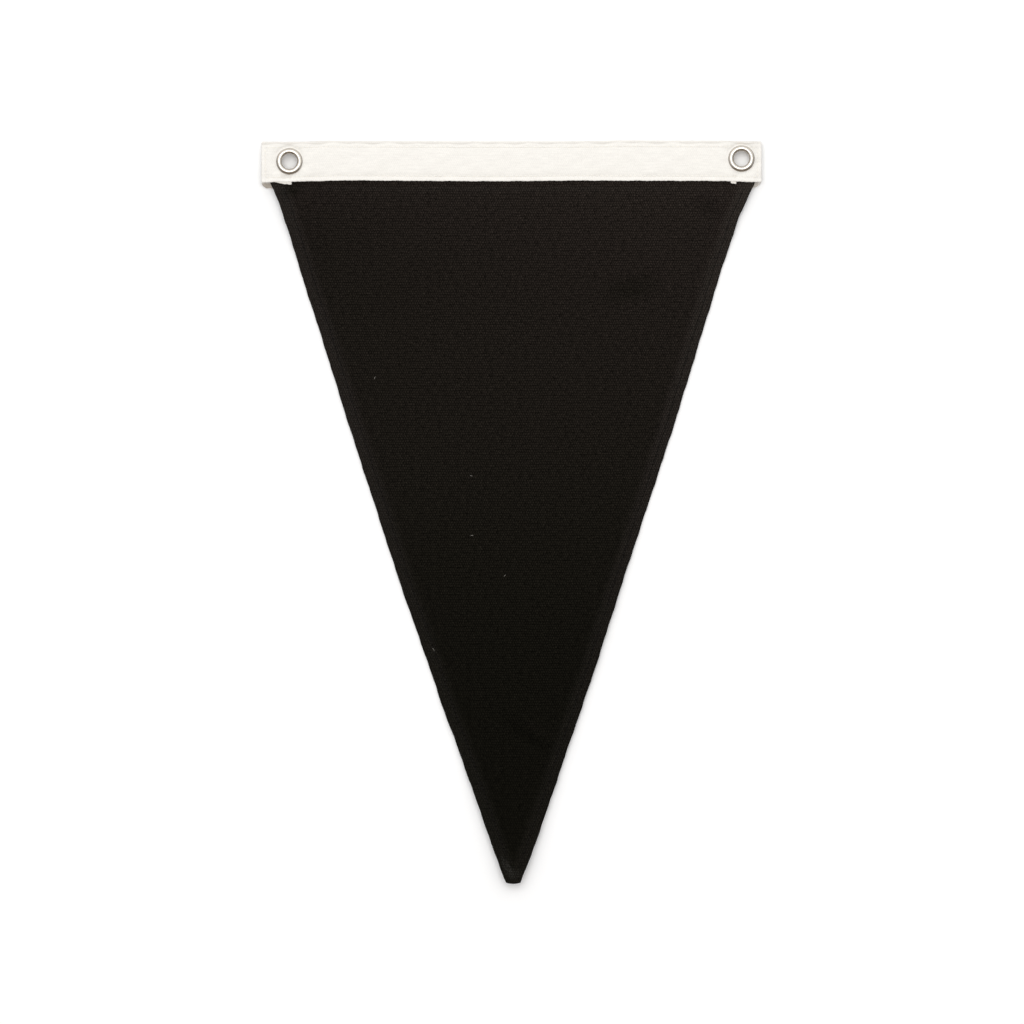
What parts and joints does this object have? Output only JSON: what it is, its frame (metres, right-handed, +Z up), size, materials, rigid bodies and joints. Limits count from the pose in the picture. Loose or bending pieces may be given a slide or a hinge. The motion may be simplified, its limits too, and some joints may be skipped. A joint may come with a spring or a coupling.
{
  "type": "pennant flag",
  "caption": "Black cotton duck pennant with hemmed sides and a natural canvas heading that has an eyelet at each end, lying flat, face up.",
  "frame": {"origin": "on the surface that the pennant lies on, under the centre of its bounding box", "axes": "+Y from the point to the heading, +X across to the viewer's right, +Z up out of the cloth's face"},
  "size_m": [0.3058, 0.4538, 0.0093],
  "materials": {
    "black_duck": "matt plain-weave cotton duck, dyed black",
    "natural_duck": "matt plain-weave cotton duck, undyed",
    "nickel_plate": "bright nickel plate on pressed brass"
  },
  "bodies": {
    "root": {"pennant_cloth": "black_duck", "heading_band": "natural_duck", "eyelet_left": "nickel_plate", "eyelet_right": "nickel_plate", "washer_left": "nickel_plate", "washer_right": "nickel_plate"}
  },
  "joints": []
}
